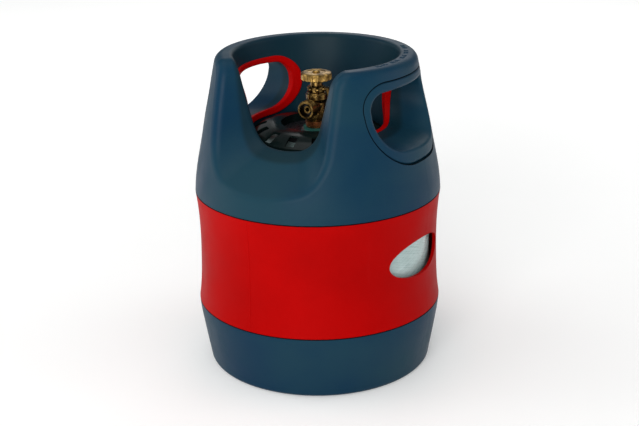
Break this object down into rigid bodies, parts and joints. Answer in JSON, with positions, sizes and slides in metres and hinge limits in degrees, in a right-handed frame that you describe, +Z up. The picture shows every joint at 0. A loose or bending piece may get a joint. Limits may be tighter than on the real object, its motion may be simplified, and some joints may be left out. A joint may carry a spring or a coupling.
{
  "type": "composite gas cylinder",
  "caption": "Two-colour plastic-cased composite gas cylinder with an open-fronted carrying collar, two hand holes and a brass handwheel valve.",
  "frame": {"origin": "centre of the base, on the surface the cylinder stands on", "axes": "+Z up along the vessel's axis, -Y towards the access opening and the valve outlet, +X towards the hand hole above the band window"},
  "size_m": [0.3046, 0.3046, 0.392],
  "materials": {
    "casing_blue": "satin moulded polyethylene",
    "band_red": "satin moulded polyethylene",
    "grip_red": "satin moulded polyethylene",
    "disc_plastic": "semi-gloss moulded plastic",
    "pad_rubber": "matte",
    "composite": "resin-bound glass fibre",
    "liner_plastic": "natural polyethylene",
    "brass": "machined, lightly tarnished",
    "bright_steel": "zinc plated",
    "gasket_green": "fibre gasket",
    "seal_rubber": "matte",
    "spring_steel": "drawn wire"
  },
  "bodies": {
    "cylinder": {"lower_casing": "casing_blue", "middle_band": "band_red", "upper_casing": "casing_blue", "grip_insert_right": "casing_blue", "grip_insert_left": "casing_blue", "grip_ring_right": "grip_red", "grip_ring_left": "grip_red", "floor_disc": "disc_plastic", "shoulder_pad": "pad_rubber", "composite_overwrap": "composite", "liner": "liner_plastic", "neck_boss": "brass", "boss_seal": "seal_rubber", "boss_washer": "bright_steel", "neck_gasket": "gasket_green", "valve_body": "brass", "outlet_seal": "seal_rubber", "gland_nut": "brass", "stem_seals": "seal_rubber", "relief_spring": "spring_steel", "relief_cap": "brass"},
    "handwheel": {"upper_spindle": "brass", "handwheel": "brass", "handwheel_nut": "brass"},
    "seat_carrier": {"lower_spindle": "brass", "seat_disc": "seal_rubber"},
    "relief": {"relief_poppet": "brass", "relief_seal": "seal_rubber"}
  },
  "joints": [
    {"name": "handwheel_turn", "type": "hinge", "parent": "cylinder", "child": "handwheel", "pos_m": [0, 0, 0.36], "axis": [0, 0, 1], "range_deg": [0, 540]},
    {"name": "seat_lift", "type": "slide", "parent": "handwheel", "child": "seat_carrier", "axis": [0, 0, 1], "range_m": [0, 0.0019]},
    {"name": "relief_lift", "type": "slide", "parent": "cylinder", "child": "relief", "axis": [0, 0, 1], "range_m": [0, 0.0015], "stiffness_N_per_m": 2000, "springref_m": -0.006, "deforming": ["relief_spring"]}
  ],
  "couplings": [
    {"joint": "seat_lift", "follows": "handwheel_turn", "m_per_rad": 0.00019894}
  ]
}
